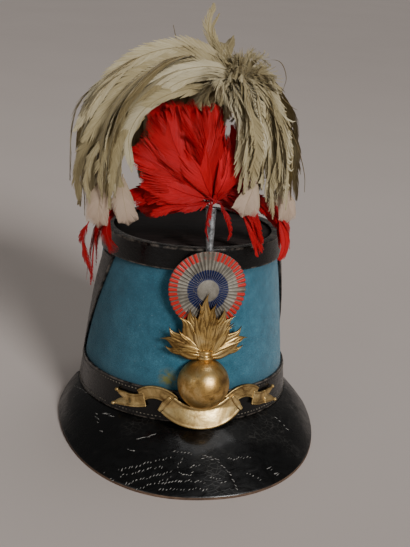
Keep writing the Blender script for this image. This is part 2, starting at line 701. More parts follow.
# evenly spaced points on a smooth curve through the places
def strand(places, count):
    points = np.array(places, float)
    ends = np.vstack([2 * points[0] - points[1], points, 2 * points[-1] - points[-2]])
    fine = []
    for a, b, c, d in zip(ends, ends[1:], ends[2:], ends[3:]):
        t = np.linspace(0, 1, 12, endpoint=False)[:, None]
        square, cube = 2 * a - 5 * b + 4 * c - d, 3 * b - a - 3 * c + d
        fine.append(0.5 * (2 * b + (c - a) * t + square * t ** 2 + cube * t ** 3))
    fine = np.vstack([*fine, points[-1:]])
    run = np.concatenate([[0], np.cumsum(np.linalg.norm(np.diff(fine, axis=0), axis=1))])
    at = np.linspace(0, run[-1], count)
    return np.stack([np.interp(at, run, fine[:, k]) for k in range(fine.shape[1])], 1)


def makeCracks(look, surface):
    rng = np.random.default_rng(look["seed"])
    whole = bmesh.new()
    for places, count, length, slant in look["lines"]:
        line = strand(places, count * 2 + 1)
        for i in range(1, count * 2, 2):
            along = line[i + 1] - line[i - 1]
            heading = math.atan2(along[1], along[0]) + math.radians(slant) * rng.uniform(0.8, 1.15)
            x, y = line[i] + rng.normal(0, look["scatter"], 2)
            spot, normal, _, _ = surface.ray_cast(Vector((x, y, 60)), Vector((0, 0, -1)))
            if spot is None:
                continue
            flat = Vector((math.cos(heading), math.sin(heading), 0))
            ahead = (flat - normal * flat.dot(normal)).normalized()
            sideways = normal.cross(ahead)
            half = length / 2 * rng.uniform(0.45, 1.1)
            turn = Matrix((ahead, sideways, normal)).transposed().to_4x4()
            addSpindle(whole, spot, turn, (half, look["width"] * rng.uniform(0.6, 1.3), look["rise"]))
    finishPiece(whole, "peakCracks", [], [crackMaterial()])


makeCracks(cracks, peakSurface)

# cockade of pleated tin: painted rings of red, bare grey and dark blue

cockade = {
    "centre": 102.5, "halfWidth": 25.5, "halfHeight": 29, "boss": 7, "bossRise": 1, "pleats": 48,
    "pleatDepth": 0.65, "pleatSteps": 10, "rings": 30, "sheet": 0.8, "stand": 4.2, "lean": 4.6, "bow": 370,
    "blueEnds": 0.53, "redStarts": 0.775,
    "red": (0.62, 0.02, 0.014), "blue": (0.008, 0.016, 0.085), "bare": (0.17, 0.15, 0.115),
    "pale": (0.42, 0.38, 0.31),
}


# how far the sheet stands out of the cloth: it leans forward at the top and bows round less than the crown
def cockadeStand(across, up):
    lean = cockade["lean"] * (up - cockade["centre"] + cockade["halfHeight"]) / (2 * cockade["halfHeight"])
    return cockade["stand"] + lean + across ** 2 / cockade["bow"]


def cockadeMaterial(look):
    material, tree, shader = newMaterial("paintedTinRings", {"Roughness": 0.45, "Metallic": 0.15})
    place = objectPlace(tree)
    turn, reach = addNode(tree, "SeparateXYZ", {0: mapPlace(tree)}).outputs[:2]
    chips = noiseAt(tree, place, 420, 4, 0.7)
    patches = noiseAt(tree, place, 90, 3)
    phase = maths(tree, "FRACT", maths(tree, "MULTIPLY", turn, look["pleats"]))
    ridge = maths(tree, "ABSOLUTE", maths(tree, "SUBTRACT", phase, 0.5))
    ridge = maths(tree, "MULTIPLY", ridge, 2.0)      # 1 on a fold, 0 in a valley
    wobble = maths(tree, "ADD", reach, ranged(tree, chips, 0.2, 0.8, -0.022, 0.022))
    grey = blended(tree, ranged(tree, patches, 0.35, 0.7), look["bare"], look["pale"])
    grey = blended(tree, ranged(tree, ridge, 0.5, 0.1, 0, 0.75), grey, (0.07, 0.06, 0.05))
    # red only where the brush reached the folds
    red = maths(tree, "MULTIPLY", ranged(tree, wobble, look["redStarts"] - 0.01, look["redStarts"] + 0.01),
                ranged(tree, ridge, 0.22, 0.42))
    worn = maths(tree, "MULTIPLY", ranged(tree, turn, 0.445, 0.455), ranged(tree, turn, 0.53, 0.52))
    stripe = maths(tree, "MULTIPLY", ranged(tree, turn, 0.737, 0.741), ranged(tree, turn, 0.76, 0.756))
    worn = maths(tree, "MULTIPLY", worn, ranged(tree, chips, 0.3, 0.5, 0.6, 1.0))
    worn = maths(tree, "MAXIMUM", worn, stripe)
    worn = maths(tree, "MAXIMUM", worn, ranged(tree, chips, 0.66, 0.72))
    red = maths(tree, "MULTIPLY", red, maths(tree, "SUBTRACT", 1.0, worn))
    colour = blended(tree, red, grey, look["red"])
    boss = look["boss"] / look["halfWidth"]
    blue = maths(tree, "MULTIPLY", ranged(tree, wobble, look["blueEnds"] + 0.01, look["blueEnds"] - 0.01),
                 ranged(tree, reach, boss - 0.01, boss + 0.02))
    streak = ranged(tree, ridge, 0.82, 0.95, 1, 0.25)
    blue = maths(tree, "MULTIPLY", maths(tree, "MULTIPLY", blue, streak), ranged(tree, chips, 0.68, 0.6))
    colour = blended(tree, blue, colour, look["blue"])
    colour = blended(tree, ranged(tree, reach, 0.985, 0.995, 0, 0.6), colour, look["bare"])
    colourOf(tree, shader, colour)
    tree.links.new(ranged(tree, chips, 0.3, 0.7, 0.35, 0.65), shader.inputs["Roughness"])
    bumped(tree, shader, chips, 0.3, 0.0003)
    return material


def makeCockade(look):
    shape = slab(look["pleats"] * look["pleatSteps"], look["rings"])
    boss = look["boss"] / look["halfWidth"]

    def place(co):
        turn, reach = 2 * math.pi * co.x, max(0, min(1, co.y + 0.5))
        folded = max(0, min(1, (reach - boss) / 0.05))
        ripple = math.cos(turn * look["pleats"])
        depth = look["pleatDepth"] * folded * math.copysign(abs(ripple) ** 0.75, ripple) * mix(0.55, 1, reach)
        if reach <= boss:
            depth += look["bossRise"] * math.sqrt(max(0, 1 - (reach / boss) ** 2)) * co.z
        depth += 0.25 * math.exp(-((reach - boss) / 0.03) ** 2) * co.z
        across = reach * look["halfWidth"] * math.sin(turn)
        up = look["centre"] + reach * look["halfHeight"] * math.cos(turn)
        return frontPoint(across, up, depth + look["sheet"] * co.z + cockadeStand(across, up))

    bend(shape, place, lambda co: (co.x * 0.9999 + 0.5, co.y + 0.5))
    bmesh.ops.remove_doubles(shape, verts=shape.verts, dist=0.005)
    bmesh.ops.recalc_face_normals(shape, faces=shape.faces)
    finishPiece(shape, "cockadeTin", ["cockade"], [cockadeMaterial(look)])


makeCockade(cockade)

# plume tube of tin

tube = {
    "foot": 124, "top": 162, "footRadius": 2.2, "topRadius": 3.7, "boreRadius": 2.9, "boreDepth": 12,
    "steps": 48, "rim": [(0.25, 0.9), (0.3, 0.4), (0, 0)], "dents": 0.12, "dentSize": 5,
    "dark": (0.08, 0.082, 0.085), "pale": (0.36, 0.37, 0.38),
}
tubeAxis = frontPoint(0, tube["foot"], fit["leather"] + 3 * fit["gap"] + tube["footRadius"]).y


def tinMaterial(look):
    material, tree, shader = newMaterial("mottledTin", {"Metallic": 0.85})
    place = objectPlace(tree)
    mottle = noiseAt(tree, place, 260, 5, 0.7, 0.6)
    drawn = noiseAt(tree, objectPlace(tree, (8, 8, 0.6)), 260, 3, 0.6)
    colour = rampOf(tree, mottle, [(0.32, look["dark"]), (0.52, look["pale"]), (0.72, (0.62, 0.63, 0.64))])
    colour = blended(tree, ranged(tree, drawn, 0.5, 0.7, 0, 0.5), colour, look["dark"])
    colourOf(tree, shader, colour)
    tree.links.new(ranged(tree, mottle, 0.3, 0.7, 0.3, 0.6), shader.inputs["Roughness"])
    bumped(tree, shader, mottle, 0.4, 0.0004)
    return material


def makeTube(look):
    foot, top, footRadius, topRadius = look["foot"], look["top"], look["footRadius"], look["topRadius"]
    bore, bottom = look["boreRadius"], top - look["boreDepth"]
    section = [(0, foot), (footRadius - 0.3, foot), (footRadius, foot + 0.3)]
    for part in ladder(0.04, 1, 16):
        section.append((mix(footRadius, topRadius, part), mix(foot, top - 1.2, part)))
    section += [(topRadius + out, top - below) for out, below in look["rim"]]
    section += [(bore, top - 0.2), (bore, bottom), (0, bottom)]
    shape = lathed(section, look["steps"], tubeAxis)
    for v in shape.verts:
        v.co += look["dents"] * noise.noise_vector(v.co / look["dentSize"])
    finishPiece(shape, "plumeTube", ["plume_tube"], [tinMaterial(look)])


makeTube(tube)

# brass badge: a flaming grenade over a bare scroll

badge = {
    "neckUp": 55, "stand": 7, "lean": 3.4, "flameHeight": 47, "sheet": 1.2,
    "ballUp": 32.5, "ballRadius": 19, "ballOut": 5.5, "ballBack": 2.9, "dent": (13.5, 38.5, 3.6, 0.9),
    "collarUp": 53, "neck": [
        (0, 47.5), (4.9, 47.5), (4.7, 50), (4.75, 51.6), (5.7, 52), (6.1, 52.6), (6.1, 53.4), (5.7, 54),
        (4.6, 54.4), (4.8, 56), (5.6, 58), (0, 58.6)],
    "thinTongues": 30, "thinLength": (0.62, 0.93), "thinWidth": (2.6, 4.2), "thinSway": (-1.5, 1.5),
    "thinRaised": (0.5, 0.95), "thinRoot": (0.1, 0.3), "thinRootUp": (0, 4), "seed": 8,
    "flameBrass": (0.62, 0.4, 0.13), "ballBrass": (0.6, 0.36, 0.11), "scrollBrass": (0.58, 0.4, 0.16),
    "deep": (0.13, 0.066, 0.02), "bright": (0.9, 0.68, 0.33), "crust": (0.07, 0.075, 0.04),
}
# tips of the flames on one side, from the middle flame down to the lowest: across, up, width and sway
flames = [
    (0, 102, 8.5, 1.2), (5.5, 94.5, 8, 1.2), (11, 90.5, 8.5, -1.4), (18.5, 84, 9, 1.6),
    (24.5, 75, 9, -1.6), (30, 66, 8.5, 1.6), (27, 60, 7, -1.2), (16, 55.5, 6, 0.8),
]
scroll = {
    "radius": 36.6, "halfAngle": 41, "centreHeight": 5.2, "halfWidth": 7.8, "rim": 0.45,
    "knob": 1.5, "knobs": [(69, 6.6), (67.2, 17.4)], "steps": 80,
}


def brassMaterial(name, look):
    material, tree, shader = newMaterial(name, {"Metallic": 0.9, "Specular IOR Level": 0.5})
    place = objectPlace(tree)
    patina = noiseAt(tree, place, 75, 6, 0.65, 0.8)
    pits = noiseAt(tree, place, 620, 3, 0.7)
    spots = noiseAt(tree, place, 210, 3, 0.6)
    colour = rampOf(tree, patina, [(0.3, look["deep"]), (0.5, look[name]), (0.72, look["bright"])])
    colour = blended(tree, ranged(tree, pits, 0.58, 0.72, 0, 0.6), colour, look["deep"])
    colour = blended(tree, ranged(tree, spots, 0.66, 0.74, 0, 0.6), colour, look["crust"])
    # dirt gathers in the hollows between the raised lines
    hollow = addNode(tree, "Attribute", attribute_name="hollow").outputs["Fac"]
    dirt = maths(tree, "MULTIPLY", hollow, ranged(tree, pits, 0.3, 0.7, 1.0, 0.75))
    colour = blended(tree, dirt, colour, look["deep"])
    colourOf(tree, shader, colour)
    tree.links.new(ranged(tree, patina, 0.3, 0.7, 0.5, 0.3), shader.inputs["Roughness"])
    bumped(tree, shader, maths(tree, "ADD", pits, spots), 0.3, 0.0003)
    return material


def badgeStand(up):
    return badge["stand"] + badge["lean"] * max(up - badge["neckUp"], 0) / badge["flameHeight"]


# adds a bent slab to the badge; place gives its point, hollow its share of dirt
def addBent(whole, across, along, place, hollow):
    shape = slab(across, along)
    layer = shape.verts.layers.float.new("hollow")
    for v in shape.verts:
        v[layer] = hollow(v.co)
    bend(shape, place)
    bmesh.ops.recalc_face_normals(shape, faces=shape.faces)
    joinTo(whole, shape)


# the section of a tongue: a rounded ridge with fine lines cut along it, and how much dirt lies there
def tongueRelief(across, lines):
    side = abs(across) * 2
    body = math.sqrt(max(0, 1 - side ** 2.4))
    cut = 0.5 + 0.5 * math.cos(across * 2 * math.pi * lines)
    return body * (0.72 + 0.28 * cut), (1 - cut) * 0.75 + 0.25 * side


# a tongue of flame from the neck to its tip; rootShare and rootUp move its root out and up
def addTongue(whole, side, tip, width, sway, raised, lines, rootShare=0.12, rootUp=0):
    root = Vector((side * tip[0] * rootShare, badge["neckUp"] + rootUp, 0))
    end = Vector((side * tip[0], tip[1], 0))
    run = end - root
    sideways = Vector((run.y, -run.x, 0)).normalized()

    def place(co):
        s = co.y + 0.5
        belly = 0.5 + 0.9 * math.sin(math.pi * min(s * 0.9 + 0.1, 1))
        half = width / 2 * belly * (1 - s ** 3 * 0.85) * (1 - s ** 12)
        swing = side * sway * (math.sin(2 * math.pi * s) + 0.35 * math.sin(4 * math.pi * s + 0.6))
        at = root + run * s + sideways * (co.x * 2 * half + swing)
        rise, thickness = tongueRelief(co.x, lines)[0], mix(1.7, 0.7, s)
        out = badgeStand(at.y) - 0.6 * thickness + raised + co.z * thickness * (0.35 + rise)
        return frontPoint(at.x, at.y, out)

    addBent(whole, 18, 30, place, lambda co: tongueRelief(co.x, lines)[1] if co.z > 0.5 else 1)


def makeFlames(look):
    rng = np.random.default_rng(look["seed"])
    whole = bmesh.new()
    for row, (across, up, width, sway) in enumerate(flames):
        for side in ((1, -1) if across else (1,)):
            addTongue(whole, side, (across, up), width, sway, 0.25 * (row % 2), 3)
    # thin tongues that flow between and over the broad ones
    for i in range(look["thinTongues"]):
        place = rng.uniform(0, len(flames) - 2)
        index = int(place)
        (a, b), part = (flames[index], flames[index + 1]), place - index
        length = rng.uniform(*look["thinLength"])
        up = look["neckUp"] + (mix(a[1], b[1], part) - look["neckUp"]) * length
        tip = (mix(a[0], b[0], part) * length, up)
        addTongue(
            whole, 1 if i % 2 else -1, tip, rng.uniform(*look["thinWidth"]), rng.uniform(*look["thinSway"]),
            rng.uniform(*look["thinRaised"]), 1.5, rng.uniform(*look["thinRoot"]),
            rng.uniform(*look["thinRootUp"]))
    finishPiece(whole, "badgeFlames", ["grenade_badge"], [brassMaterial("flameBrass", look)])


def makeBall(look):
    centre = frontPoint(0, look["ballUp"], look["ballOut"])
    whole = bmesh.new()
    bmesh.ops.create_uvsphere(whole, u_segments=72, v_segments=40, radius=look["ballRadius"])
    made = bmesh.ops.bisect_plane(
        whole, geom=whole.verts[:] + whole.edges[:] + whole.faces[:], dist=0.001,
        plane_co=(0, look["ballOut"] - look["ballBack"], 0), plane_no=(0, 1, 0), clear_outer=True)
    cut = [e for e in made["geom_cut"] if isinstance(e, bmesh.types.BMEdge)]
    bmesh.ops.holes_fill(whole, edges=cut, sides=0)
    across, up, radius, depth = look["dent"]
    layer = whole.verts.layers.float.new("hollow")
    for v in whole.verts:
        away = math.hypot(v.co.x - across, v.co.z - (up - look["ballUp"]))
        dip = math.exp(-(away / radius) ** 2) if v.co.y < 0 else 0
        v.co *= 1 - dip * depth / look["ballRadius"] + 0.004 * noise.noise(v.co / 9)
        v[layer] = dip * 0.95
    bmesh.ops.translate(whole, verts=whole.verts, vec=centre)
    neck = lathed(look["neck"], 40, frontPoint(0, look["collarUp"], badgeStand(look["collarUp"])).y)
    neck.verts.layers.float.new("hollow")
    joinTo(whole, neck)
    bmesh.ops.recalc_face_normals(whole, faces=whole.faces)
    finishPiece(whole, "badgeBall", [], [brassMaterial("ballBrass", look)])


def scrollStand(up):
    return 3.8 + 0.3 * max(12 - up, 0)


# a strip of brass with raised rims along a line of (across, up) places, with its half width at each
def addRibbon(whole, line, halfWidths, lift, rim, along, curl=0.0):
    steps = scroll["steps"]
    points = strand([(x, y, 0) for x, y in line], steps + 1)
    runs = np.gradient(points, axis=0)
    runs /= np.linalg.norm(runs, axis=1)[:, None]

    def profile(across):
        side = abs(across) * 2
        return math.exp(-((side - 0.86) / 0.09) ** 2)

    def place(co):
        s = co.y + 0.5
        at = s * steps
        index = min(int(at), steps - 1)
        spot = Vector(mix(points[index], points[index + 1], at - index))
        run = Vector(mix(runs[index], runs[index + 1], at - index))
        half = float(np.interp(s, np.linspace(0, 1, len(halfWidths)), halfWidths))
        across, up = spot.x - run.y * 2 * co.x * half, spot.y + run.x * 2 * co.x * half
        raised = rim * profile(co.x) + 0.25 * math.cos(co.x * math.pi)
        wave = curl * math.sin(2 * math.pi * s)
        out = scrollStand(up) + lift + wave + badge["sheet"] * (co.z - 0.5) + (raised if co.z > 0.5 else 0)
        return frontPoint(across, up, out)

    def hollow(co):
        if co.z <= 0.5:
            return 0.8
        side = abs(co.x) * 2
        return 0.75 * math.exp(-((side - 0.7) / 0.1) ** 2) + 0.5 * max(0, side - 0.95) / 0.05

    addBent(whole, 24, along, place, hollow)


def arcLine(centreAcross, centreUp, radius, fromAngle, toAngle, count):
    turns = [math.radians(a) for a in ladder(fromAngle, toAngle, count - 1)]
    return [(centreAcross + radius * math.sin(turn), centreUp - radius * math.cos(turn)) for turn in turns]


# the folded ends on one side: line, half widths along it, lift, rim, rows and curl
scrollEnds = [
    (arcLine(33.5, 4, 18, 228, 138, 6), [5.2, 5, 5], -0.6, 0.405, 60, 0),
    ([(41.5, 15), (49, 13), (58, 12.5)], [5.2, 4.8, 5], -0.1, 0.2, 40, 0.35),
    ([(55, 10.5), (62, 9.5), (69, 6.8)], [3, 2.6, 0.7], 0, 0.15, 30, 0),
    ([(55, 14.5), (61, 15.5), (67, 17.2)], [3, 2.4, 0.7], 0, 0.15, 30, 0),
    ([(22.5, 20), (27, 13.5), (30, 9)], [1.2, 2.2, 1.2], 0.75, 0.2, 30, 0),      # the middle panel's end
]


def makeScroll(look):
    whole = bmesh.new()
    radius, halfAngle = look["radius"], look["halfAngle"]
    panel = arcLine(0, look["centreHeight"] + radius, radius, -halfAngle, halfAngle, 9)
    addRibbon(whole, panel, [look["halfWidth"]] * 2, 0.15, look["rim"], 90)
    for side in (1, -1):
        for line, halfWidths, *rest in scrollEnds:
            if side < 0:      # mirrored, and drawn from its other end
                line, halfWidths = [(-x, y) for x, y in line][::-1], halfWidths[::-1]
            addRibbon(whole, line, halfWidths, *rest)
        for across, up in look["knobs"]:
            place = Matrix.Translation(frontPoint(side * across, up, scrollStand(up) + 0.3))
            bmesh.ops.create_icosphere(whole, subdivisions=3, radius=look["knob"], matrix=place)
    # the plate behind that the scroll is soldered to
    plate = slab(2, 2)
    plate.verts.layers.float.new("hollow")
    bend(plate, lambda co: frontPoint(co.x * 10, 15 + co.y * 12, 3.3 + co.z * badge["sheet"]))
    joinTo(whole, plate)
    bmesh.ops.recalc_face_normals(whole, faces=whole.faces)
    finishPiece(whole, "badgeScroll", [], [brassMaterial("scrollBrass", badge)])


makeFlames(badge)
makeBall(badge)
makeScroll(scroll)

# feathers: every vane is a row of narrow barb strips on each side of a shaft

barbCuts = np.array([0, 0.34, 0.7, 1])
barbTaper = np.array([1.0, 1.12, 0.95, 0.2])
# shares of the shaft and of the vane's width, and how strongly the barbs clump and bow
vane = {
    "rootTaper": 0.22, "tipTaper": 0.75, "closeFrom": 0.86, "closing": 0.85, "leastHalf": 0.2,
    "clumping": 0.16, "bow": 0.16, "stripWidth": 0.62, "tileLift": 0.05,
}


def newStore():
    return {"points": [], "faces": [], "flat": [], "tint": [], "reach": [], "count": 0}


# points holds the two edges of each strip at each cut
def keepStrips(store, points, flat, tint, reach):
    strips, cuts = points.shape[:2]
    first = store["count"] + np.arange(strips)[:, None] * cuts * 2 + np.arange(cuts - 1)[None, :] * 2
    faces = np.stack([first, first + 2, first + 3, first + 1], -1).reshape(-1, 4)
    store["points"].append(points.reshape(-1, 3))
    store["flat"].append(flat.reshape(-1, 2))
    store["tint"].append(np.full(strips * cuts * 2, tint))
    store["reach"].append(np.repeat(reach, cuts * 2))
    store["faces"].append(faces)
    store["count"] += strips * cuts * 2


# three strips between the three edge lines of a quill
def keepQuill(store, corners, tint, reach):
    for a, b in ((0, 1), (1, 2), (2, 0)):
        pair = np.stack([corners[a], corners[b]], 1)[None]
        keepStrips(store, pair, np.zeros((1, len(corners[a]), 2, 2)), tint, np.array([reach]))


# facing is a direction, or a centre that the vane turns its back on where fromCentre is set
def addFeather(
        store, rng, places, width, facing, tip, tint, loose, curl, fromCentre=False, barbs=34, bare=0.05,
        angle=33, cup=0.15, fill=1.0, roll=0.0, shaft=0.5, ends=1.0):
    line = strand(places, barbs + 1)
    s = np.linspace(0, 1, barbs + 1)
    ahead = np.gradient(line, axis=0)
    spacing = np.linalg.norm(ahead, axis=1).mean()
    ahead /= np.linalg.norm(ahead, axis=1)[:, None]
    facing = np.array(facing, float)
    outward = line - facing if fromCentre else np.tile(facing, (len(line), 1))
    outward = outward - (outward * ahead).sum(1)[:, None] * ahead
    outward /= np.linalg.norm(outward, axis=1)[:, None] + 1e-9
    sideways = np.cross(ahead, outward)
    cosine, sine = math.cos(math.radians(roll)), math.sin(math.radians(roll))
    outward, sideways = outward * cosine + sideways * sine, sideways * cosine - outward * sine
    rise = np.clip((s - bare) / vane["rootTaper"], 0, 1)
    half = width / 2 * np.sqrt(rise * (2 - rise)) * (1 - s ** tip * vane["tipTaper"]) * (s > bare)
    cuts, taper = barbCuts[None, :, None], (barbTaper * (1, 1, 1, ends))[None, :, None]
    # the last barbs turn in to close the tip
    closing = 1 - vane["closing"] * np.clip((s - vane["closeFrom"]) / (1 - vane["closeFrom"]), 0, 1)
    for side in (1, -1):
        keep = half > vane["leastHalf"]
        count = keep.sum()
        if count == 0:
            continue
        group = np.cumsum(rng.random(count) < vane["clumping"])
        groupTurn = rng.normal(0, 1, group.max() + 1)[group]
        slant = np.radians(angle * (1 - 0.4 * s[keep] ** 2)) * closing[keep]
        slant = slant + loose * 0.5 * groupTurn + rng.normal(0, loose * 0.12, count)
        uneven = 1 + loose * rng.normal(0, 0.35, count) + loose * 0.4 * groupTurn
        length = half[keep] / math.sin(math.radians(angle)) * uneven
        # no barb reaches far past the end of the shaft, so that the tip is rounded, not forked
        reachOut = np.minimum(length * np.sin(slant) * 1.6 / width, 0.97)
        room = spacing * barbs * (1 - s[keep]) + width * (0.14 - 0.5 * (1 - np.sqrt(1 - reachOut ** 2)))
        room = np.maximum(room, 0.05 * width) / (np.cos(slant) + 0.16)
        length = np.minimum(length, room)
        length, slant = length[:, None, None], slant[:, None, None]
        t, n, w = ahead[keep][:, None, :], outward[keep][:, None, :], sideways[keep][:, None, :] * side
        lift = (rng.normal(0, loose * 0.9, count) + loose * 1.6 * groupTurn)[:, None, None]
        bow = vane["bow"] * cuts ** 2 + curl * np.sin(cuts * math.pi * 1.2)
        path = line[keep][:, None, :] + t * length * (cuts * np.cos(slant) + bow)
        path = path + w * length * np.sin(slant) * (cuts - 0.2 * cuts ** 2)
        hang = cup * half[keep][:, None, None] * cuts ** 2
        path = path + n * (lift * cuts - hang + curl * length * 0.35 * cuts ** 2)
        run = np.gradient(path, axis=1)
        run /= np.linalg.norm(run, axis=2)[:, :, None] + 1e-9
        across = np.cross(np.broadcast_to(n, run.shape), run)
        across /= np.linalg.norm(across, axis=2)[:, :, None] + 1e-9
        strip = spacing * np.sin(np.maximum(slant, 0.3)) * vane["stripWidth"] * fill * taper
        # the strips lie like tiles, each with one edge a hair higher than the other
        tile = n * vane["tileLift"]
        pair = np.stack([path - across * strip - tile, path + across * strip + tile], 2)
        seed = rng.random(count)[:, None, None] * 40
        u = np.broadcast_to(cuts * length * 0.1, (count, len(barbCuts), 1))
        flat = np.stack([np.concatenate([u, np.broadcast_to(seed + edge, u.shape)], 2) for edge in (0, 1)], 2)
        keepStrips(store, pair if side > 0 else pair[:, :, ::-1], flat, tint, s[keep])
    # the shaft is a thin three-sided quill
    quill = line[::3]
    radius = shaft * (1 - 0.75 * np.linspace(0, 1, len(quill)))[:, None]
    back, across = quill - outward[::3] * radius * 0.4, sideways[::3] * radius
    corners = [quill + outward[::3] * radius * 0.9, back + across, back - across]
    keepQuill(store, corners, -1.0 + 0.1 * tint, 0.5)


def featherPiece(store, name, nodes, material):
    points = np.vstack(store["points"])
    turn = np.array(toRest.to_3x3())
    points = points @ turn.T + np.array(toRest.translation)
    points[:, 2] = np.maximum(points[:, 2], 0.001)
    faces = np.vstack(store["faces"])
    mesh = bpy.data.meshes.new(name)
    mesh.from_pydata(points.tolist(), [], faces.tolist())
    layer = mesh.uv_layers.new(name="map")
    layer.data.foreach_set("uv", np.vstack(store["flat"])[faces.reshape(-1)].astype(np.float32).reshape(-1))
    for label in ("tint", "reach"):
        attribute = mesh.attributes.new(label, "FLOAT", "POINT")
        attribute.data.foreach_set("value", np.concatenate(store[label]).astype(np.float32))
    mesh.update()
    addPiece(mesh, name, nodes, [material])


# stops runs from the darkest to the palest colour of the dye
def featherMaterial(name, stops, base, quillColour, values):
    material, tree, shader = newMaterial(name, values)
    place = objectPlace(tree)
    tint = addNode(tree, "Attribute", attribute_name="tint").outputs["Fac"]
    reach = addNode(tree, "Attribute", attribute_name="reach").outputs["Fac"]
    lines = noiseAt(tree, mapPlace(tree, (0.5, 3.5, 1)), 1.0, 3, 0.75)
    patches = noiseAt(tree, place, 55, 4, 0.6)
    shade = maths(tree, "MULTIPLY", ranged(tree, lines, 0.25, 0.75), 0.36)
    shade = maths(tree, "ADD", maths(tree, "MULTIPLY", tint, 0.5), shade)
    shade = maths(tree, "ADD", shade, maths(tree, "MULTIPLY", patches, 0.25))
    colour = rampOf(tree, shade, stops)
    colour = blended(tree, ranged(tree, reach, 0.45, 0.0, 0, 0.55), colour, base)
    quill = ranged(tree, tint, -0.3, -0.6)
    colour = blended(tree, quill, colour, quillColour)
    colourOf(tree, shader, colour)
    bumped(tree, shader, lines, 0.8, 0.0005)
    return material


whiteFeather = featherMaterial(
    "strawWhiteFeather",
    [(0.1, (0.1, 0.07, 0.03)), (0.36, (0.27, 0.205, 0.095)), (0.58, (0.46, 0.375, 0.2)),
     (0.85, (0.72, 0.64, 0.44))],
    (0.22, 0.16, 0.065), (0.3, 0.23, 0.11),
    {"Roughness": 0.6, "Specular IOR Level": 0.3, "Sheen Weight": 0.15, "Sheen Roughness": 0.4})
pinkTip = featherMaterial(
    "pinkishTipFeather",
    [(0.1, (0.34, 0.23, 0.155)), (0.5, (0.55, 0.4, 0.29)), (0.85, (0.72, 0.56, 0.43))],
    (0.36, 0.28, 0.15), (0.5, 0.38, 0.25),
    {"Roughness": 0.6, "Specular IOR Level": 0.3, "Sheen Weight": 0.15, "Sheen Roughness": 0.4})
redFeather = featherMaterial(
    "crimsonFeather",
    [(0.1, (0.1, 0.001, 0.003)), (0.4, (0.36, 0.002, 0.006)), (0.65, (0.62, 0.003, 0.008)),
     (0.92, (0.8, 0.02, 0.03))],
    (0.3, 0.001, 0.004), (0.34, 0.004, 0.01),
    {"Roughness": 0.5, "Specular IOR Level": 0.25, "Sheen Weight": 0.05, "Sheen Roughness": 0.4})

# tufts in the level drawing's millimetres: three places after the common root, the spread round that line,
# how many feathers, their width, tip and tint, how far along the line they may start, and how wispy they are
whiteCrown = (16, -92, 250)
whiteCentre = (0, -84, 205)
whiteTufts = {
    "plumeWhiteLeft": [
        ([(-30, -88, 264), (-76, -90, 240), (-95, -90, 204)], 9, 14, 15, 9, 0.6, 0.3, 0),
        ([(-30, -78, 258), (-78, -80, 222), (-85, -84, 152)], 11, 18, 12, 5, 0.45, 0.4, 0),
        ([(-24, -104, 258), (-66, -112, 222), (-76, -110, 156)], 9, 12, 10, 4, 0.5, 0.4, 0),
        ([(-22, -62, 258), (-66, -50, 226), (-80, -40, 158)], 15, 22, 14, 5, 0.5, 0.4, 0),
        ([(-10, -56, 256), (-34, -26, 226), (-42, -14, 166)], 16, 22, 15, 6, 0.5, 0.4, 0),
    ],
    "plumeWhiteRight": [
        ([(14, -56, 258), (8, -22, 226), (2, -6, 166)], 17, 22, 15, 6, 0.55, 0.4, 0),
        ([(32, -62, 254), (46, -34, 222), (50, -22, 162)], 16, 22, 14, 6, 0.5, 0.4, 0),
        ([(36, -72, 252), (56, -58, 214), (62, -52, 162)], 14, 20, 13, 5, 0.5, 0.4, 0),
        ([(34, -92, 250), (50, -96, 212), (56, -98, 154)], 9, 22, 10, 4, 0.55, 0.35, 0),
        ([(32, -108, 244), (43, -122, 206), (44, -122, 156)], 9, 22, 8, 3, 0.55, 0.35, 1),
        ([(20, -112, 244), (25, -126, 206), (23, -124, 164)], 8, 16, 8, 3, 0.55, 0.3, 1),
        ([(10, -108, 244), (15, -119, 224), (17, -119, 194)], 6, 14, 9, 3, 0.5, 0.3, 0.8),
        ([(2, -110, 246), (-6, -116, 238), (-4, -116, 226)], 9, 12, 10, 4, 0.4, 0.1, 1),
    ],
}
tuftShape = {
    "spreads": (0.45, 0.9, 1.0), "steps": 40, "length": (0.5, 0.68), "fullLength": 0.55, "end": (0.9, 1.0),
    "seed": 21,
}
# how the feathers of a tuft are made, and the single feathers at the front: which place turns them, how much,
# and how far they face up
whiteLook = {"uneven": 0.2, "loose": 0.16, "vane": {"cup": 0.18}}
sweepLook = {"turnedBy": 1, "turn": 0.006, "up": 0.45, "vane": {"barbs": 46}}
tipLook = {
    "turnedBy": 1, "turn": 0.004, "up": 0.2, "vane": {"barbs": 52, "angle": 44, "cup": 0.2, "ends": 2.2},
}
redLook = {"uneven": 0.13, "loose": 0.05, "vane": {"cup": 0.3, "ends": 2}, "seed": 33}
redFrontLook = {
    "turnedBy": 2, "turn": 0.012, "up": 0.25, "vane": {"barbs": 44, "angle": 40, "cup": 0.3, "ends": 2.2},
}


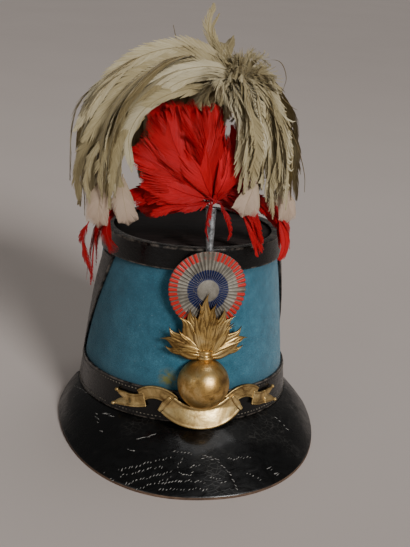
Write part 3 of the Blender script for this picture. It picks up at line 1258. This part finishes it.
def growTuft(store, rng, tuft, root, centre, look):
    places, spread, count, width, tip, tint, latestStart, wispy = tuft
    steps = tuftShape["steps"]
    for _ in range(count):
        away = rng.normal(0, 0.5, 3) * spread
        jittered = [np.array(root) + rng.normal(0, 4, 3)]
        for place, share in zip(places, tuftShape["spreads"]):
            jittered.append(np.array(place) + away * share + rng.normal(0, 1.5, 3))
        whole = strand(jittered, steps + 1)
        start = int(steps * rng.uniform(0.02, latestStart))
        end = min(steps, start + int(steps * rng.uniform(*tuftShape["length"])))
        if rng.random() < tuftShape["fullLength"]:
            end = int(steps * rng.uniform(*tuftShape["end"]))
        addFeather(
            store, rng, whole[start:end + 1:4], width * rng.uniform(0.75, 1.2), centre, tip,
            tint + rng.normal(0, look["uneven"]), look["loose"] + 0.2 * wispy,
            0.25 * wispy * rng.normal(0.3, 0.8), fromCentre=True, fill=1.0 - 0.15 * wispy,
            roll=rng.normal(0, 22), angle=30 - 12 * wispy, **look["vane"])


def addSingles(store, rng, feathers, look):
    for places, width, tip, tint, loose, curl in feathers:
        facing = (places[look["turnedBy"]][0] * look["turn"], -1, look["up"])
        addFeather(store, rng, places, width, facing, tip, tint, loose, curl, **look["vane"])


# single feathers of the front, each with its own line: places, width, tip, tint, how loose, and how curled
sweepFeathers = [
    ([(20, -98, 254), (-18, -98, 269), (-60, -97, 256), (-94, -96, 212)], 17, 10, 0.72, 0.1, 0),
    ([(14, -98, 252), (-14, -101, 263), (-52, -101, 250), (-88, -99, 205)], 18, 10, 0.55, 0.1, 0),
    ([(12, -100, 250), (-14, -104, 258), (-48, -105, 246), (-78, -104, 206)], 15, 6, 0.66, 0.1, 0),
    ([(8, -100, 249), (-12, -106, 254), (-42, -108, 243), (-70, -108, 207)], 13, 4, 0.42, 0.1, 0),
    ([(22, -102, 252), (-6, -109, 257), (-34, -111, 250), (-56, -111, 230)], 12, 4, 0.85, 0.1, 0),
    ([(20, -104, 250), (-4, -112, 252), (-30, -114, 244), (-52, -114, 222)], 11, 4, 0.78, 0.1, 0),
    ([(4, -106, 244), (-20, -114, 242), (-44, -117, 232), (-58, -117, 212)], 12, 5, 0.5, 0.1, 0),
    ([(-30, -112, 238), (-48, -117, 229), (-59, -119, 211), (-57, -119, 188)], 15, 2.2, 0.9, 0.03, 0),
    ([(-64, -96, 226), (-76, -98, 206), (-82, -98, 182), (-80, -98, 158)], 12, 5, 0.5, 0.1, 0),
    ([(-68, -100, 222), (-84, -98, 204), (-92, -96, 184), (-90, -94, 160)], 12, 4, 0.35, 0.1, 0),
    ([(-56, -104, 220), (-68, -108, 202), (-74, -108, 182), (-70, -107, 160)], 11, 4, 0.6, 0.1, 0),
    ([(-48, -110, 222), (-62, -112, 206), (-66, -112, 186), (-60, -111, 166)], 9, 4, 0.45, 0.1, 0),
    ([(-70, -110, 214), (-82, -112, 198), (-86, -112, 182), (-84, -111, 164)], 9, 3, 0.55, 0.25, 0),
    ([(-62, -112, 216), (-74, -114, 200), (-78, -115, 184), (-76, -114, 168)], 9, 3, 0.4, 0.25, 0),
    ([(-54, -114, 216), (-64, -116, 200), (-70, -116, 186), (-68, -116, 170)], 8, 3, 0.65, 0.25, 0),
    ([(-66, -108, 212), (-72, -111, 196), (-73, -112, 182), (-70, -112, 162)], 9, 3, 0.3, 0.25, 0),
    ([(9, -92, 252), (2, -90, 268), (-4, -89, 282), (-1, -88, 298)], 13, 1.6, 0.55, 0.2, 0),
    ([(10, -92, 252), (6, -91, 266), (-1, -89, 280), (3, -88, 292)], 9, 1.6, 0.42, 0.25, 0),
    ([(26, -100, 252), (38, -103, 238), (48, -104, 218), (54, -102, 190)], 15, 4, 0.66, 0.1, 0),
    ([(28, -98, 252), (42, -100, 236), (53, -100, 208), (57, -99, 172)], 13, 4, 0.5, 0.1, 0),
    ([(20, -106, 246), (30, -116, 232), (38, -122, 206), (38, -123, 172)], 12, 3, 0.7, 0.35, 0.2),
    ([(16, -108, 244), (22, -117, 230), (30, -123, 208), (32, -124, 178)], 11, 3, 0.6, 0.4, 0.25),
    ([(24, -106, 246), (36, -116, 228), (45, -118, 204), (48, -118, 168)], 12, 3, 0.75, 0.35, 0.15),
]
tipFeathers = [
    ([(-72, -109, 184), (-76, -110, 172), (-78, -110, 160), (-78, -109, 149)], 22, 12, 0.4, 0.02, 0),
    ([(-62, -111, 184), (-62, -112, 172), (-60, -112, 161), (-58, -111, 151)], 20, 12, 0.6, 0.02, 0),
    ([(28, -122, 186), (25, -124, 176), (22, -124, 168), (20, -123, 160)], 23, 12, 0.7, 0.02, 0),
    ([(52, -100, 178), (56, -101, 168), (58, -101, 160), (58, -100, 152)], 14, 10, 0.6, 0.02, 0),
    ([(44, -116, 180), (48, -116, 170), (50, -115, 162), (50, -114, 155)], 11, 10, 0.5, 0.02, 0),
]
knot = {"wisps": 46, "reach": 24, "width": 7}
quills = [
    [(26, -104, 250), (34, -106, 262), (44, -106, 262), (49, -105, 252), (47, -105, 243)],
    [(40, -104, 246), (30, -108, 250), (20, -110, 246)],
    [(56, -100, 216), (64, -98, 200), (69, -97, 184), (70, -96, 172)],
    [(-18, -90, 262), (-24, -84, 272), (-27, -80, 284)],
    [(48, -100, 238), (56, -99, 232), (60, -99, 230)],
]
quillShape = {"steps": 24, "radius": 0.55, "corners": ((0, -1, 0), (0.8, 0.5, 0.3), (-0.8, 0.5, -0.3))}


def makeWhitePlume():
    rng = np.random.default_rng(tuftShape["seed"])
    for name, tufts in whiteTufts.items():
        store = newStore()
        for tuft in tufts:
            growTuft(store, rng, tuft, whiteCrown, whiteCentre, whiteLook)
        nodes = ["plume_white"] if name == "plumeWhiteLeft" else []
        featherPiece(store, name, nodes, whiteFeather)
    front = newStore()
    addSingles(front, rng, sweepFeathers, sweepLook)
    for _ in range(knot["wisps"]):
        heading = rng.normal(0, 1, 3)
        heading[1] = -abs(heading[1]) * 0.7
        heading /= np.linalg.norm(heading)
        start = np.array(whiteCrown) + (2, -6, -2) + heading * 4
        reach = knot["reach"] * rng.uniform(0.5, 1.1)
        end = start + heading * reach + (0, 0, -4 - reach * 0.25)
        places = [start, start + heading * reach * 0.5 + (0, 0, 3), end]
        addFeather(
            front, rng, places, knot["width"] * rng.uniform(0.6, 1.4), heading + (0, -0.6, 0.5), 2.5,
            rng.uniform(0.25, 0.75), 0.45, rng.normal(0, 0.35), barbs=22, fill=0.85, angle=22, shaft=0.25)
    for line in quills:
        quill = strand(line, quillShape["steps"])
        radius = quillShape["radius"] * (1 - 0.6 * np.linspace(0, 1, quillShape["steps"]))[:, None]
        keepQuill(front, [quill + np.array(corner) * radius for corner in quillShape["corners"]], 0.0, 0.0)
    featherPiece(front, "plumeWhiteFront", [], whiteFeather)
    tips = newStore()
    addSingles(tips, rng, tipFeathers, tipLook)
    featherPiece(tips, "plumeWhiteTips", [], pinkTip)


redMouth = (0, -108, 168)
redCentre = (-12, -84, 176)
redTufts = [
    ([(-12, -110, 186), (-26, -112, 208), (-38, -108, 233)], 10, 12, 24, 9, 0.45, 0.12, 0),
    ([(-3, -112, 188), (-6, -114, 208), (-12, -112, 235)], 9, 11, 24, 9, 0.5, 0.12, 0),
    ([(-18, -112, 180), (-36, -112, 192), (-57, -108, 203)], 9, 11, 22, 9, 0.5, 0.12, 0),
    ([(-16, -112, 172), (-32, -112, 170), (-50, -108, 166)], 6, 9, 16, 6, 0.45, 0.12, 0),
    ([(6, -112, 184), (10, -114, 198), (10, -112, 212)], 6, 8, 18, 7, 0.42, 0.12, 0),
    ([(-36, -104, 176), (-76, -99, 150), (-81, -95, 104)], 4, 9, 8, 3, 0.4, 0.5, 0.4),
    ([(12, -113, 172), (28, -114, 158), (42, -107, 126)], 5, 12, 9, 3, 0.42, 0.3, 0.5),
    ([(20, -108, 174), (52, -98, 152), (62, -86, 122)], 5, 12, 10, 4, 0.5, 0.4, 0.3),
    ([(-14, -104, 167), (-32, -98, 163), (-50, -90, 156)], 5, 9, 15, 6, 0.3, 0.1, 0),
    ([(10, -104, 166), (24, -102, 163), (40, -96, 156)], 4, 9, 13, 5, 0.25, 0.1, 0),
    ([(-8, -98, 174), (-24, -78, 172), (-38, -56, 160)], 9, 10, 18, 7, 0.3, 0.1, 0),
    ([(8, -98, 174), (24, -80, 172), (36, -58, 162)], 9, 10, 18, 7, 0.3, 0.1, 0),
    ([(16, -108, 178), (26, -112, 190), (30, -112, 204)], 6, 9, 15, 6, 0.38, 0.1, 0),
    ([(-6, -98, 190), (-20, -84, 210), (-30, -66, 214)], 12, 10, 22, 8, 0.4, 0.12, 0),
]
redFronts = [
    ([(1, -112, 168), (5, -119, 178), (8, -121, 190), (6, -121, 202)], 22, 12, 0.95, 0.03, 0),
    ([(0, -112, 168), (-6, -118, 178), (-12, -121, 190), (-20, -121, 200)], 26, 14, 0.62, 0.03, 0),
    ([(-2, -112, 170), (-16, -119, 186), (-28, -119, 204), (-34, -117, 223)], 30, 14, 0.5, 0.03, 0),
    ([(-2, -112, 170), (-6, -120, 190), (-10, -120, 206), (-14, -118, 226)], 31, 14, 0.42, 0.03, 0),
    ([(2, -112, 170), (9, -117, 188), (14, -117, 204), (15, -116, 218)], 22, 12, 0.38, 0.03, 0),
    ([(-3, -113, 168), (-18, -118, 172), (-34, -118, 178), (-48, -115, 182)], 24, 14, 0.55, 0.03, 0),
    ([(-2, -113, 166), (-14, -118, 164), (-28, -118, 163), (-42, -115, 157)], 9, 4, 0.4, 0.3, 0),
    ([(2, -113, 166), (8, -118, 176), (14, -119, 188), (15, -118, 200)], 12, 5, 0.45, 0.3, 0),
    ([(-1, -114, 168), (-3, -115, 158), (-4, -115, 148), (-2, -114, 139)], 5, 2, 0.25, 0.4, 0),
    ([(5, -113, 166), (10, -116, 156), (13, -115, 146), (12, -113, 140)], 5, 2, 0.2, 0.4, 0),
    ([(-84, -102, 150), (-88, -100, 138), (-86, -98, 124), (-80, -95, 106)], 8, 3, 0.55, 0.2, 0),
    ([(-70, -105, 154), (-72, -105, 144), (-70, -104, 136), (-69, -103, 128)], 13, 6, 0.5, 0.03, 0),
    ([(50, -104, 154), (55, -104, 142), (56, -103, 132), (54, -102, 124)], 13, 6, 0.6, 0.03, 0),
]


def makeRedPlume():
    rng = np.random.default_rng(redLook["seed"])
    store = newStore()
    for tuft in redTufts:
        growTuft(store, rng, tuft, redMouth, redCentre, redLook)
    addSingles(store, rng, redFronts, redFrontLook)
    featherPiece(store, "plumeRed", ["plume_red"], redFeather)


makeWhitePlume()
makeRedPlume()

# floor and light

studio = {
    "pale": (0.6, 0.525, 0.48), "mottled": (0.5, 0.43, 0.39), "halfWidth": 14, "sky": 0.1,
    "aim": (0, 0, 0.17),
    "lights": {
        "key": ("SUN", (0.6, -1.35, 0.95), 0.3, 2.5), "fill": ("AREA", (-1.3, -1.0, 0.7), 1.0, 2.5),
        "top": ("AREA", (0.25, 0.2, 1.7), 0.8, 5),
    },
}


def makeStage(look):
    shape = bmesh.new()
    bmesh.ops.create_grid(shape, x_segments=4, y_segments=4, size=look["halfWidth"])
    mesh = bpy.data.meshes.new("floor")
    shape.to_mesh(mesh)
    shape.free()
    material, tree, shader = newMaterial("paleFloor", {"Roughness": 0.9, "Specular IOR Level": 0.1})
    soft = noiseAt(tree, objectPlace(tree), 3, 3)
    colourOf(tree, shader, blended(tree, ranged(tree, soft, 0.3, 0.7, 0, 0.2), look["pale"], look["mottled"]))
    mesh.materials.append(material)
    floor = bpy.data.objects.new("floor", mesh)
    scene.collection.objects.link(floor)


# a sun's size is the angle that it fills, so that it is as soft as a large lamp, and as even over the floor
def makeLight(name, kind, place, size, power):
    data = bpy.data.lights.new(name, kind)
    data.energy = power
    if kind == "SUN":
        data.angle = size
    else:
        data.size = size
    lamp = bpy.data.objects.new(name, data)
    scene.collection.objects.link(lamp)
    lamp.location = place
    lamp.rotation_euler = (Vector(studio["aim"]) - Vector(place)).to_track_quat("-Z", "Y").to_euler()


def makeSky(strength):
    world = bpy.data.worlds.new("studio")
    scene.world = world
    world.use_nodes = True
    background = world.node_tree.nodes["Background"]
    background.inputs[0].default_value = (1, 0.97, 0.94, 1)
    background.inputs[1].default_value = strength


makeStage(studio)
for lightName, light in studio["lights"].items():
    makeLight(lightName, *light)
makeSky(studio["sky"])
print("stage and lights ready")
